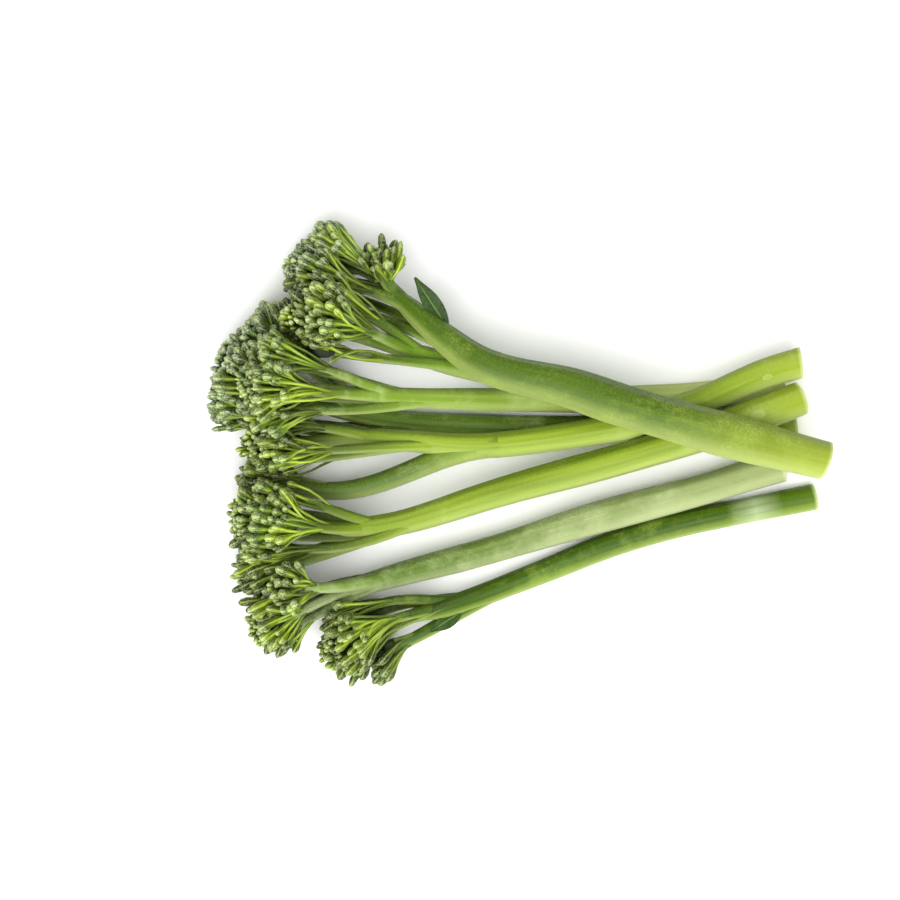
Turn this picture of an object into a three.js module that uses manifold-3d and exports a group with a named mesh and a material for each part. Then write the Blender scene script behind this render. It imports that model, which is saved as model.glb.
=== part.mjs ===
// A bunch of eight baby broccoli stalks lying on their sides, heads to -X and cut ends to +X.
// Millimetres, +Z up. The origin is the middle of the bunch's outline, on the surface it lies on.
import * as THREE from 'three';
import * as BufferGeometryUtils from 'three/addons/utils/BufferGeometryUtils.js';
import Module from 'manifold-3d';

const wasm = await Module();
wasm.setup();

// Driving dimensions
const gap = 0.4; // clear space between pieces that lie on each other
const stemSides = 8;
const stemStep = 16; // length of one stretch of a stem
const branchSides = 5;
const branchSteps = 4;
const branchRadius = [2.5, 1.5]; // where a branch leaves its stem, and in its floret
const branchBack = 2; // the last branch starts this far inside the end of its stem
const branchStep = 7; // and each of the others this much further back
const branchBend = [0.3, 0.45]; // shares of its length that a branch runs on and runs in
const shootRadius = [2.9, 1.9]; // the same two places of a side shoot's stem
const shootBend = [0.35, 0.3]; // shares of its length that it runs on, at its root and its head
const domeShare = 0.46; // radius of one floret dome over the radius of its head
const domeLong = 1.35; // a dome is this much longer along the head's axis than across
const pressedTo = 0.85; // a dome's middle is at least this share of its radius off the surface
const pressedBud = 1; // how far below the surface a bud may reach before it is cut there
const coreGrow = 1.18; // a dome's core has few faces, so its corners stand out by this much
const ringTilt = THREE.MathUtils.degToRad(84); // outer domes lean this far from the head's axis
const domeLean = 0.45; // how far buds turn from a dome's own direction to the head's axis
const seamClear = 1.2; // buds keep this share of a radius from the middle of other domes
const outerSide = 0; // buds stand where a dome's skin faces its own direction by more than this
const rimSide = 0.35; // below this a bud is at the rim of its head
const budLean = 0.25; // how far a bud turns from the skin's direction to the head's axis
const budSides = 5;
const budSpacing = 7.6;
const budWidth = 6.8;
const budLength = 8;
const budSunk = 4.4; // length of a bud that is inside its dome
const longBud = 1.35; // buds at the rim of a head are this much longer
const budVaries = 0.1; // a bud's width differs by up to this share
const turnVaries = 0.25; // and its place on the spiral by up to this angle, in radians
const firstSeed = 101;
const bladeThick = 0.9;
const bladeRows = 8;
const bladeRoot = 0.2; // width at a blade's root over its full width
const bladeFold = 0.18; // how far the edges rise over half the width
const bladeRise = 2.5; // how far the tip rises
const waveHeight = 1.1;
const waveCount = 3.5; // waves along one edge

const greens = {
  bright: 0x8db84f,
  pale: 0xa9c77c,
  middle: 0x7ba653,
  deep: 0x5f8c45,
  head: 0x56803f,
  blueHead: 0x5b7f56,
  leaf: 0x3f6a34,
};
const stemRough = 0.45;
const floretRough = 0.7;
const leafRough = 0.55;

// Each stalk: its centre line from the cut end to the neck, its radius along that line, and its
// head. A head has a centre, the way that it faces, a radius and how far it spreads along, across
// and upwards. Shoots and leaves leave the stem at a share of its length, and a leaf starts at an
// offset from the stem's centre line. A shoot may give the radius of its own stem at both ends, and
// how far that stem sways out before the head.
const stalks = [
  {
    name: 'b',
    green: greens.bright,
    path: [[107, -2.8, 22], [78.6, 4.3, 27.6], [63.2, 8.4, 29.8], [35.2, 16.5, 29.8],
      [16.6, 22.8, 28.8], [-10.3, 29.8, 28.4], [-27, 40.6, 26.4], [-41.8, 53.6, 23]],
    radii: [6.8, 7.6, 7.2, 6.2, 3.4],
    head: { centre: [-63.6, 61.2, 16], faces: [-0.92, 0.3, -0.1], radius: 14, ring: 5, turn: 0.2,
      spread: [1, 1.1, 1], green: greens.blueHead },
    shoots: [{ from: 0.93, centre: [-48, 62, 22], faces: [-0.15, 0.95, 0.1], radius: 6.2 }],
    leaves: [{ from: 0.87, offset: [0.6, 4.4, -1], points: [-0.55, 0.83, 0], length: 20, width: 5.5 }],
  },
  {
    name: 's2',
    green: greens.middle,
    path: [[36, 20.4, 16.4], [24, 20.6, 16.2], [10, 23, 15.8], [-6.8, 27.3, 15.6], [-24, 31.4, 18],
      [-41.8, 36.1, 26]],
    radii: [4.4, 4.6, 4.2, 3.3],
    head: { centre: [-63.5, 41.5, 37.5], faces: [-0.9, 0.15, 0.25], radius: 14.5, ring: 5, turn: 0.6,
      spread: [1, 1.1, 1], green: greens.head },
    shoots: [],
    leaves: [],
  },
  {
    name: 'e',
    green: greens.pale,
    path: [[94.7, 24.5, 4.3], [63.2, 20.2, 4.3], [42.2, 19.2, 4.4], [20, 18.6, 5.6], [-6.8, 18.8, 10],
      [-32, 19.2, 22], [-52, 20, 33.5]],
    radii: [5, 4.9, 4.4, 3.9, 3.2],
    head: { centre: [-79, 23.5, 42], faces: [-0.98, 0.1, 0.1], radius: 14, ring: 5, turn: 0.1,
      spread: [0.8, 1.1, 0.95], green: greens.head },
    shoots: [],
    leaves: [],
  },
  {
    name: 'a3',
    green: greens.middle,
    path: [[98.9, 8.1, 4], [63.2, 9.6, 4], [29.9, 8.8, 4.1], [-9.6, 9.4, 5.4], [-42, 11.4, 7.4],
      [-66, 15.6, 12.6]],
    radii: [4.7, 4.6, 4.3, 3.9, 3.3],
    head: { centre: [-90, 27.2, 15.5], faces: [-0.87, 0.48, 0.05], radius: 15.5, ring: 6, turn: 0.3,
      spread: [0.6, 1.85, 1.05], green: greens.blueHead },
    shoots: [],
    leaves: [],
  },
  {
    name: 'a',
    green: greens.pale,
    path: [[99.2, 31.9, 14], [84.2, 27.2, 15.6], [63.2, 18.2, 16.2], [42.2, 11.3, 16.6],
      [30.6, 8.2, 16.2], [-9.6, 2.8, 16.6], [-38, 4.2, 18.4], [-55, 5.6, 20.6]],
    radii: [5.2, 5, 4.8, 4.4, 3.4],
    head: { centre: [-78, 4, 24], faces: [-0.98, -0.05, 0.05], radius: 13.6, ring: 5, turn: 1.1,
      spread: [1, 1.1, 1.1], green: greens.head },
    shoots: [{ from: 0.7, centre: [-84, -8.6, 13.4], faces: [-0.95, 0.25, 0], radius: 8.2,
      stem: [3.9, 3], sway: [9, -11, 0] }],
    leaves: [],
  },
  {
    name: 'a2',
    green: greens.pale,
    path: [[99, 19.2, 14], [88.4, 15.2, 15.6], [63.2, 6, 15.6], [29.9, -3.8, 15.2],
      [-9.6, -14.7, 15.2], [-40, -24, 18], [-58, -26.6, 22]],
    radii: [6, 5.8, 5.6, 5, 3.6],
    head: { centre: [-80.5, -24.2, 27], faces: [-0.97, 0.15, 0.12], radius: 15, ring: 5, turn: 0.3,
      spread: [1, 1.1, 1.05], green: greens.head },
    shoots: [{ from: 0.76, centre: [-87.5, -40.8, 13], faces: [-0.95, -0.3, -0.1], radius: 7.6,
      stem: [3.7, 2.8] }],
    leaves: [],
  },
  {
    name: 'c',
    green: greens.middle,
    path: [[94, -4.6, 4.9], [78.6, -8.8, 6.2], [63.2, -13.3, 8.4], [29.9, -22.4, 9.2],
      [-9.6, -34.2, 8.4], [-41.8, -42.7, 11.4], [-60, -48, 16]],
    radii: [5.5, 5.7, 5.4, 4.8, 3.5],
    head: { centre: [-81.8, -57.2, 17], faces: [-0.85, -0.5, -0.05], radius: 9.4, ring: 5, turn: 0.1,
      spread: [1.1, 1, 1.1], green: greens.head },
    shoots: [{ from: 0.87, centre: [-75.5, -46.5, 34.5], faces: [-0.95, 0.1, 0.2], radius: 6.6 }],
    leaves: [],
  },
  {
    name: 'd',
    green: greens.deep,
    path: [[105.5, -15.6, 3.8], [74.7, -21.6, 3.8], [54.8, -26, 3.8], [29.9, -33.6, 3.9],
      [7.2, -42.6, 4.8], [-12.8, -50.4, 7], [-30, -56, 12]],
    radii: [4.5, 4.6, 4.5, 4.2, 3.4],
    head: { centre: [-52.6, -63, 12.9], faces: [-0.85, -0.5, 0], radius: 13.4, ring: 5, turn: 0.4,
      spread: [1.05, 1.15, 1], green: greens.head },
    shoots: [{ from: 0.72, centre: [-45, -67.6, 11], faces: [-0.92, -0.4, 0], radius: 7 }],
    leaves: [{ from: 0.93, offset: [0, -3.4, 2], points: [-0.85, -0.52, 0], length: 12, width: 4.5 }],
  },
];

// A seeded draw, so that the bunch is the same each time
function drawFrom(seed) {
  let state = seed;
  return () => {
    state = (state + 0x6d2b79f5) % 0x100000000;
    let mixed = Math.imul(state ^ (state >>> 15), state | 1);
    mixed ^= mixed + Math.imul(mixed ^ (mixed >>> 7), mixed | 61);
    return ((mixed ^ (mixed >>> 14)) >>> 0) / 0x100000000;
  };
}

function vector(list) {
  return new THREE.Vector3(...list);
}

// Solid from a closed geometry: shared corners are merged and flat triangles left out
function solidFrom(geometry) {
  geometry.deleteAttribute('normal');
  geometry.deleteAttribute('uv');
  const merged = BufferGeometryUtils.mergeVertices(geometry, 1e-4);
  const corners = [];
  const index = merged.index.array;
  for (let k = 0; k < index.length; k += 3) {
    const [one, two, three] = [index[k], index[k + 1], index[k + 2]];
    if (one !== two && two !== three && three !== one) corners.push(one, two, three);
  }
  return new wasm.Manifold(new wasm.Mesh({
    numProp: 3,
    vertProperties: new Float32Array(merged.attributes.position.array),
    triVerts: new Uint32Array(corners),
  }));
}

function joined(solids) {
  return solids.reduce((sum, solid) => sum.add(solid));
}

// The largest body of a solid, without the loose scraps that a cut leaves
function largestBody(solid) {
  const bodies = solid.decompose();
  return bodies.reduce((best, body) => (body.volume() > best.volume() ? body : best));
}

function meshFrom(solid, name, colour, roughness) {
  const { vertProperties, triVerts } = solid.getMesh();
  const geometry = new THREE.BufferGeometry();
  geometry.setAttribute('position', new THREE.BufferAttribute(vertProperties, 3));
  geometry.setIndex(new THREE.BufferAttribute(triVerts, 1));
  geometry.computeVertexNormals();
  const material = new THREE.MeshStandardMaterial({ color: colour, roughness, metalness: 0 });
  const mesh = new THREE.Mesh(geometry, material);
  mesh.name = name;
  return mesh;
}

// Closed tube along a curve: rings of corners, flat ends, radius read from a list along it
function tube(curve, radii, sides, steps, extra) {
  const points = curve.getSpacedPoints(steps);
  const frames = curve.computeFrenetFrames(steps, false);
  points[0].addScaledVector(frames.tangents[0], -extra);
  points[steps].addScaledVector(frames.tangents[steps], extra);
  const positions = [];
  const index = [];
  points.forEach((point, ring) => {
    const place = (ring / steps) * (radii.length - 1);
    const low = Math.min(Math.floor(place), radii.length - 2);
    const radius = THREE.MathUtils.lerp(radii[low], radii[low + 1], place - low) + extra;
    for (let side = 0; side < sides; side += 1) {
      const turn = ((side + 0.5) / sides) * 2 * Math.PI;
      const corner = point.clone()
        .addScaledVector(frames.normals[ring], Math.cos(turn) * radius)
        .addScaledVector(frames.binormals[ring], Math.sin(turn) * radius);
      positions.push(corner.x, corner.y, corner.z);
    }
  });
  for (let ring = 0; ring < steps; ring += 1) {
    for (let side = 0; side < sides; side += 1) {
      const near = ring * sides + side;
      const next = ring * sides + ((side + 1) % sides);
      index.push(near, next, near + sides, next, next + sides, near + sides);
    }
  }
  const last = steps * sides;
  for (let side = 1; side < sides - 1; side += 1) {
    index.push(0, side + 1, side, last, last + side, last + side + 1);
  }
  const geometry = new THREE.BufferGeometry();
  geometry.setAttribute('position', new THREE.Float32BufferAttribute(positions, 3));
  geometry.setIndex(index);
  return solidFrom(geometry);
}

function stemCurve(stalk) {
  return new THREE.CatmullRomCurve3(stalk.path.map(vector), false, 'catmullrom', 0.5);
}

// Directions along, across and upwards of a head
function headFrame(faces) {
  const along = vector(faces).normalize();
  const across = new THREE.Vector3(0, 0, 1).cross(along).normalize();
  const rise = along.clone().cross(across);
  return { along, across, rise };
}

// How far a head reaches in a direction
function reach(head, direction) {
  const { along, across, rise } = headFrame(head.faces);
  const [far, wide, high] = head.spread;
  return head.radius * Math.hypot(far * along.dot(direction), wide * across.dot(direction),
    high * rise.dot(direction));
}

// Planes between a head and each neighbour, at a share of the way that follows their reaches
function planesOf(head, heads) {
  const planes = [];
  const centre = vector(head.centre);
  for (const other of heads) {
    const away = vector(other.centre).sub(centre);
    const distance = away.length();
    if (distance === 0) continue;
    away.normalize();
    const mine = reach(head, away) + budLength - budSunk;
    const theirs = reach(other, away) + budLength - budSunk;
    if (distance > mine + theirs) continue;
    planes.push({ away, far: away.dot(centre) + distance * (mine / (mine + theirs)) });
  }
  return planes;
}

// Floret domes: one on the head's axis and a ring that leans out, moved clear of the planes
function domesOf(head, planes) {
  const { along, across, rise } = headFrame(head.faces);
  const [far, wide, high] = head.spread;
  const radius = head.radius * domeShare;
  const domes = [];
  for (let k = 0; k <= head.ring; k += 1) {
    const lean = k === 0 ? 0 : ringTilt;
    const turn = (k / head.ring) * 2 * Math.PI + head.turn;
    const out = along.clone().multiplyScalar(Math.cos(lean) * far)
      .addScaledVector(across, Math.sin(lean) * Math.cos(turn) * wide)
      .addScaledVector(rise, Math.sin(lean) * Math.sin(turn) * high);
    const centre = vector(head.centre).addScaledVector(out, head.radius * (1 - domeShare));
    for (const { away, far: edge } of planes) {
      const over = away.dot(centre) + radius - edge;
      if (over > 0) centre.addScaledVector(away, -over);
    }
    centre.z = Math.max(centre.z, radius * pressedTo);
    out.normalize().lerp(along, domeLean).normalize();
    domes.push({ centre, radius, out });
  }
  return domes;
}

// One bud: a five-sided spindle with its root in the dome
function bud(place, direction, width, length) {
  const geometry = new THREE.SphereGeometry(0.5, budSides, 3);
  geometry.scale(width, length, width);
  geometry.translate(0, length / 2 - budSunk, 0);
  const turn = new THREE.Quaternion().setFromUnitVectors(new THREE.Vector3(0, 1, 0), direction);
  geometry.applyQuaternion(turn);
  geometry.translate(place.x, place.y, place.z);
  return solidFrom(geometry);
}

// Share of the way from a dome's middle to its skin
function depthIn(dome, place, along) {
  const offset = place.clone().sub(dome.centre);
  const forward = offset.dot(along);
  offset.addScaledVector(along, forward / domeLong - forward);
  return offset.length() / dome.radius;
}

// Buds on the outer side of each dome, on a spiral of even spacing with a small random turn
function budsOf(domes, planes, along, draw) {
  const buds = [];
  const golden = Math.PI * (3 - Math.sqrt(5));
  for (const dome of domes) {
    const count = Math.round((4 * Math.PI * dome.radius ** 2 * domeLong) / budSpacing ** 2);
    for (let k = 0; k < count; k += 1) {
      const high = 1 - (2 * (k + 0.5)) / count;
      const turn = golden * k + (2 * draw() - 1) * turnVaries;
      const wide = Math.sqrt(1 - high * high);
      const direction = new THREE.Vector3(wide * Math.cos(turn), wide * Math.sin(turn), high);
      if (direction.dot(dome.out) < outerSide) continue;
      const stretch = direction.dot(along) * (domeLong - 1);
      const place = dome.centre.clone().addScaledVector(direction, dome.radius)
        .addScaledVector(along, dome.radius * stretch);
      const covered = domes.some((other) => other !== dome && depthIn(other, place, along) < seamClear);
      const length = budLength * (direction.dot(along) < rimSide ? longBud : 1);
      const tip = place.clone().addScaledVector(direction, length - budSunk);
      const crosses = planes.some(({ away, far }) => away.dot(tip) > far - gap);
      if (covered || crosses || tip.z < -pressedBud) continue;
      direction.lerp(along, budLean).normalize();
      const width = budWidth * (1 + (2 * draw() - 1) * budVaries);
      buds.push(bud(place, direction, width, length));
    }
  }
  return buds;
}

// Low core of a dome, longer along the head's axis
function coreOf(dome, along) {
  const geometry = new THREE.IcosahedronGeometry(dome.radius * coreGrow, 0);
  geometry.scale(1, domeLong, 1);
  const turn = new THREE.Quaternion().setFromUnitVectors(new THREE.Vector3(0, 1, 0), along);
  geometry.applyQuaternion(turn);
  geometry.translate(dome.centre.x, dome.centre.y, dome.centre.z);
  return solidFrom(geometry);
}

// A head: domes and buds in one body, kept off its neighbours and off the surface below
function headSolid(head, heads, seed) {
  const planes = planesOf(head, heads);
  const domes = domesOf(head, planes);
  const { along } = headFrame(head.faces);
  const cores = domes.map((dome) => coreOf(dome, along));
  let solid = joined([...cores, ...budsOf(domes, planes, along, drawFrom(seed))]);
  for (const { away, far } of planes) {
    solid = solid.trimByPlane([-away.x, -away.y, -away.z], gap / 2 - far);
  }
  return { solid: solid.trimByPlane([0, 0, 1], 0), domes };
}

// Branches into the domes: they leave the stem one behind the other, the first near its end
function branchesOf(stalk, extra) {
  const curve = stemCurve(stalk);
  const length = curve.getLength();
  const { along } = headFrame(stalk.head.faces);
  return stalk.head.domes.map(({ centre }, k) => {
    const share = 1 - (branchBack + k * branchStep) / length;
    const start = curve.getPointAt(share);
    const distance = start.distanceTo(centre);
    const bendOut = start.clone().addScaledVector(curve.getTangentAt(share), branchBend[0] * distance);
    const bendIn = centre.clone().addScaledVector(along, -branchBend[1] * distance);
    const path = new THREE.CubicBezierCurve3(start, bendOut, bendIn, centre);
    return tube(path, branchRadius, branchSides, branchSteps, extra);
  });
}

// The thin stem of a side shoot, from inside the main stem into the shoot's middle dome
function shootStem(stalk, shoot, extra) {
  const curve = stemCurve(stalk);
  const start = curve.getPointAt(shoot.from);
  const onward = curve.getTangentAt(shoot.from);
  const end = shoot.domes[0].centre;
  const distance = start.distanceTo(end);
  const bendOut = start.clone().addScaledVector(onward, shootBend[0] * distance);
  const { along } = headFrame(shoot.faces);
  const bendIn = end.clone().addScaledVector(along, -shootBend[1] * distance);
  bendIn.add(new THREE.Vector3(...(shoot.sway ?? [0, 0, 0])));
  const path = new THREE.CubicBezierCurve3(start, bendOut, bendIn, end);
  return tube(path, shoot.stem ?? shootRadius, branchSides, branchSteps + 1, extra);
}

// A stem with its branches and side shoots as one body, or grown by a gap to cut others with
function stalkSolid(stalk, extra) {
  const curve = stemCurve(stalk);
  const steps = Math.round(curve.getLength() / stemStep);
  const solids = [tube(curve, stalk.radii, stemSides, steps, extra)];
  solids.push(...branchesOf(stalk, extra));
  for (const shoot of stalk.shoots) solids.push(shootStem(stalk, shoot, extra));
  return joined(solids);
}

// A pointed blade with waved edges and a raised pair of halves, the same triangles on both faces
function leafSolid(stalk, leaf) {
  const curve = stemCurve(stalk);
  const root = curve.getPointAt(leaf.from);
  const along = vector(leaf.points).normalize();
  const across = new THREE.Vector3(0, 0, 1).cross(along).normalize();
  const rise = along.clone().cross(across);
  root.add(vector(leaf.offset));
  const positions = [];
  const columns = [-1, 0, 1];
  for (const face of [0.5, -0.5]) {
    for (let row = 0; row <= bladeRows; row += 1) {
      const share = row / bladeRows;
      const bulge = bladeRoot + (1 - bladeRoot) * Math.sin(Math.PI * share ** 0.8);
      const half = bladeThick / 2 + (leaf.width / 2) * bulge * (1 - share ** 6);
      const wave = waveHeight * share * Math.sin(2 * Math.PI * waveCount * share);
      for (const column of columns) {
        const lift = Math.abs(column) * (wave + bladeFold * half) + bladeRise * share * share;
        const point = root.clone().addScaledVector(along, share * leaf.length)
          .addScaledVector(across, column * half)
          .addScaledVector(rise, lift + face * bladeThick);
        positions.push(point.x, point.y, point.z);
      }
    }
  }
  const geometry = new THREE.BufferGeometry();
  geometry.setAttribute('position', new THREE.Float32BufferAttribute(positions, 3));
  geometry.setIndex(bladeIndex(columns.length));
  return solidFrom(geometry);
}

// Triangles of a blade: two faces split alike, and a rim round them
function bladeIndex(wide) {
  const index = [];
  const below = (bladeRows + 1) * wide;
  for (let row = 0; row < bladeRows; row += 1) {
    for (let column = 0; column < wide - 1; column += 1) {
      const corner = row * wide + column;
      const ahead = corner + wide;
      index.push(corner, ahead, ahead + 1, corner, ahead + 1, corner + 1);
      index.push(below + corner, below + ahead + 1, below + ahead);
      index.push(below + corner, below + corner + 1, below + ahead + 1);
    }
  }
  const rim = [];
  for (let column = 0; column < wide; column += 1) rim.push(column);
  for (let row = 1; row <= bladeRows; row += 1) rim.push(row * wide + wide - 1);
  for (let column = wide - 2; column >= 0; column -= 1) rim.push(bladeRows * wide + column);
  for (let row = bladeRows - 1; row > 0; row -= 1) rim.push(row * wide);
  rim.forEach((corner, k) => {
    const next = rim[(k + 1) % rim.length];
    index.push(corner, next, below + next, corner, below + next, below + corner);
  });
  return index;
}

const bunch = new THREE.Group();
const heads = stalks.flatMap((stalk) => [
  stalk.head,
  ...stalk.shoots.map((shoot) => Object.assign(shoot, {
    ring: 3, turn: 0.3, spread: [1, 1, 1], green: greens.head,
  })),
]);
heads.forEach((head, k) => {
  Object.assign(head, headSolid(head, heads, firstSeed + k));
});
const grown = stalks.map((stalk) => stalkSolid(stalk, gap));

stalks.forEach((stalk, k) => {
  const stem = stalkSolid(stalk, 0).trimByPlane([0, 0, 1], 0);
  bunch.add(meshFrom(stem, `stalk_${stalk.name}`, stalk.green, stemRough));
  const namedHeads = [[`head_${stalk.name}`, stalk.head],
    ...stalk.shoots.map((shoot) => [`shoot_${stalk.name}`, shoot])];
  for (const [name, head] of namedHeads) {
    const cut = grown.reduce((solid, other) => solid.subtract(other), head.solid);
    bunch.add(meshFrom(largestBody(cut), name, head.green, floretRough));
  }
  stalk.leaves.forEach((leaf) => {
    const solid = leafSolid(stalk, leaf).subtract(grown[k]);
    bunch.add(meshFrom(largestBody(solid), `leaf_${stalk.name}`, greens.leaf, leafRough));
  });
});

export default bunch;
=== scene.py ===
from math import comb
import bpy
import numpy as np
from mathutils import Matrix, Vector


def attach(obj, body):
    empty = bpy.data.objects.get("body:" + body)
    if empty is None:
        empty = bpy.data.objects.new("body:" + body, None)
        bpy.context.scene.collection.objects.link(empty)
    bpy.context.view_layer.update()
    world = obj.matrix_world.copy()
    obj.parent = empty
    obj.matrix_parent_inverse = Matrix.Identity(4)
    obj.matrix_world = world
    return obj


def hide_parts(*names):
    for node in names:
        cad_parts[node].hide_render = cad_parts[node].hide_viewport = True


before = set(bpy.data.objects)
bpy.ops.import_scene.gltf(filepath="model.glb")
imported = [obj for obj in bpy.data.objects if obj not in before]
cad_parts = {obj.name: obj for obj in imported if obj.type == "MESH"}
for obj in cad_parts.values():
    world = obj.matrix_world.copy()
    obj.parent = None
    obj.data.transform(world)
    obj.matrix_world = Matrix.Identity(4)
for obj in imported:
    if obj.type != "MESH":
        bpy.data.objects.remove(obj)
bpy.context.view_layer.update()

print("frame loaded with", len(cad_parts), "nodes")

# Where each stalk lies, in millimetres: its centre line from the cut end to the neck, its radius
# along that line, how far and which way its cut slants, and its head. A head has a centre, the way
# it faces, a radius, a number of side domes and a spread along, across and upwards. Shoots and
# leaves leave the stem at a share of it.
stalks = {
    "b": {
        "path": [(107, -2.8, 22), (78.6, 4.3, 27.6), (63.2, 8.4, 29.8), (35.2, 16.5, 29.8),
                 (16.6, 22.8, 28.8), (-10.3, 29.8, 28.4), (-27, 40.6, 26.4), (-41.8, 53.6, 23)],
        "radii": (6.8, 7.6, 7.2, 6.2, 3.4), "slant": (0.1, 0.4), "slot": "stem_bright",
        "floretSlot": "floret_blue",
        "head": {"centre": (-63.6, 61.2, 16), "faces": (-0.92, 0.3, -0.1), "radius": 14, "ring": 5,
                 "turn": 0.2, "spread": (1, 1.1, 1)},
        "shoot": {"from": 0.93, "centre": (-48, 62, 22), "faces": (-0.15, 0.95, 0.1), "radius": 6.2},
        "leaf": {"from": 0.87, "offset": (0.6, 4.4, -1), "points": (-0.55, 0.83, 0),
                 "length": 20, "width": 5.5},
    },
    "s2": {
        "path": [(36, 20.4, 16.4), (24, 20.6, 16.2), (10, 23, 15.8), (-6.8, 27.3, 15.6),
                 (-24, 31.4, 18), (-41.8, 36.1, 26)],
        "radii": (4.4, 4.6, 4.2, 3.3), "slant": (0.05, 1.0), "slot": "stem_middle",
        "head": {"centre": (-63.5, 41.5, 37.5), "faces": (-0.9, 0.15, 0.25), "radius": 14.5,
                 "ring": 5, "turn": 0.6, "spread": (1, 1.1, 1)},
    },
    "e": {
        "path": [(94.7, 24.5, 4.3), (63.2, 20.2, 4.3), (42.2, 19.2, 4.4), (20, 18.6, 5.6),
                 (-6.8, 18.8, 10), (-32, 19.2, 22), (-52, 20, 33.5)],
        "radii": (5, 4.9, 4.4, 3.9, 3.2), "slant": (0.12, 2.0), "slot": "stem_pale",
        "head": {"centre": (-79, 23.5, 42), "faces": (-0.98, 0.1, 0.1), "radius": 14, "ring": 5,
                 "turn": 0.1, "spread": (0.8, 1.1, 0.95)},
    },
    "a3": {
        "path": [(98.9, 8.1, 4), (63.2, 9.6, 4), (29.9, 8.8, 4.1), (-9.6, 9.4, 5.4),
                 (-42, 11.4, 7.4), (-66, 15.6, 12.6)],
        "radii": (4.7, 4.6, 4.3, 3.9, 3.3), "slant": (0.1, 3.0), "slot": "stem_middle",
        "floretSlot": "floret_blue",
        "head": {"centre": (-90, 27.2, 15.5), "faces": (-0.87, 0.48, 0.05), "radius": 15.5, "ring": 6,
                 "turn": 0.3, "spread": (0.6, 1.85, 1.05), "nudge": ((6, (5, -3, 0)),)},
    },
    "a": {
        "path": [(99.2, 31.9, 14), (84.2, 27.2, 15.6), (63.2, 18.2, 16.2), (42.2, 11.3, 16.6),
                 (30.6, 8.2, 16.2), (-9.6, 2.8, 16.6), (-38, 4.2, 18.4), (-55, 5.6, 20.6)],
        "radii": (5.2, 5, 4.8, 4.4, 3.4), "slant": (0.22, 0.6), "slot": "stem_pale",
        "head": {"centre": (-78, 4, 24), "faces": (-0.98, -0.05, 0.05), "radius": 13.6, "ring": 5,
                 "turn": 1.1, "spread": (1, 1.1, 1.1)},
        "shoot": {"from": 0.7, "centre": (-84, -8.6, 13.4), "faces": (-0.95, 0.25, 0),
                  "radius": 8.2, "stem": (4.6, 3.9, 3.6, 3.3, 3.0), "sway": (9, -11, 0)},
    },
    "a2": {
        "path": [(99, 19.2, 14), (88.4, 15.2, 15.6), (63.2, 6, 15.6), (29.9, -3.8, 15.2),
                 (-9.6, -14.7, 15.2), (-40, -24, 18), (-58, -26.6, 22)],
        "radii": (6, 5.8, 5.6, 5, 3.6), "slant": (0.08, 5.2), "slot": "stem_pale",
        "head": {"centre": (-80.5, -24.2, 27), "faces": (-0.97, 0.15, 0.12), "radius": 15, "ring": 5,
                 "turn": 0.3, "spread": (1, 1.1, 1.05)},
        "shoot": {"from": 0.76, "centre": (-87.5, -40.8, 13), "faces": (-0.95, -0.3, -0.1),
                  "radius": 7.6, "stem": (4.4, 3.7, 3.4, 3.1, 2.8)},
    },
    "c": {
        "path": [(94, -4.6, 4.9), (78.6, -8.8, 6.2), (63.2, -13.3, 8.4), (29.9, -22.4, 9.2),
                 (-9.6, -34.2, 8.4), (-41.8, -42.7, 11.4), (-60, -48, 16)],
        "radii": (5.5, 5.7, 5.4, 4.8, 3.5), "slant": (0.15, 1.2), "slot": "stem_middle",
        "head": {"centre": (-81.8, -57.2, 17), "faces": (-0.85, -0.5, -0.05), "radius": 9.4, "ring": 5,
                 "turn": 0.1, "spread": (1.1, 1, 1.1)},
        "shoot": {"from": 0.87, "centre": (-75.5, -46.5, 34.5), "faces": (-0.95, 0.1, 0.2),
                  "radius": 6.6, "stem": (3.6, 2.7, 2.2, 1.8, 1.4)},
    },
    "d": {
        "path": [(105.5, -15.6, 3.8), (74.7, -21.6, 3.8), (54.8, -26, 3.8), (29.9, -33.6, 3.9),
                 (7.2, -42.6, 4.8), (-12.8, -50.4, 7), (-30, -56, 12)],
        "radii": (4.5, 4.6, 4.5, 4.2, 3.4), "slant": (0.06, 4.0), "slot": "stem_deep",
        "head": {"centre": (-52.6, -63, 12.9), "faces": (-0.85, -0.5, 0), "radius": 13.4, "ring": 5,
                 "turn": 0.4, "spread": (1.05, 1.15, 1)},
        "shoot": {"from": 0.72, "centre": (-45, -67.6, 11), "faces": (-0.92, -0.4, 0), "radius": 7},
        "leaf": {"from": 0.93, "offset": (0, -3.4, 2), "points": (-0.85, -0.52, 0),
                 "length": 12, "width": 4.5},
    },
}


# Each vector over its own length
def unit(vectors):
    return vectors / np.linalg.norm(vectors, axis=-1, keepdims=True)


# Length of a line: the sum of its steps
def lengthOf(line):
    return np.linalg.norm(np.diff(line, axis=0), axis=1).sum()


# Points at even steps of length: share of the length -> point on the fine line
def evenly(fine, shares):
    steps = np.linalg.norm(np.diff(fine, axis=0), axis=1)
    length = np.concatenate([[0], np.cumsum(steps)])
    return np.stack([np.interp(shares * length[-1], length, fine[:, k]) for k in range(3)], -1)


# Stem line: a cubic through each four points in turn, its ends carried on by reflection
def stemLine(path, shares, fineSteps=900):
    spots = np.array(path, float)
    spots = np.vstack([2 * spots[0] - spots[1], spots, 2 * spots[-1] - spots[-2]])
    time = np.linspace(0, len(path) - 1, fineSteps)
    leg = np.minimum(time.astype(int), len(path) - 2)
    part = (time - leg)[:, None]
    one, two, three, four = spots[leg], spots[leg + 1], spots[leg + 2], spots[leg + 3]
    fine = 0.5 * (2 * two + (three - one) * part + (2 * one - 5 * two + 4 * three - four) * part ** 2
                  + (3 * two - one - 3 * three + four) * part ** 3)
    return evenly(fine, np.asarray(shares, float))


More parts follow.
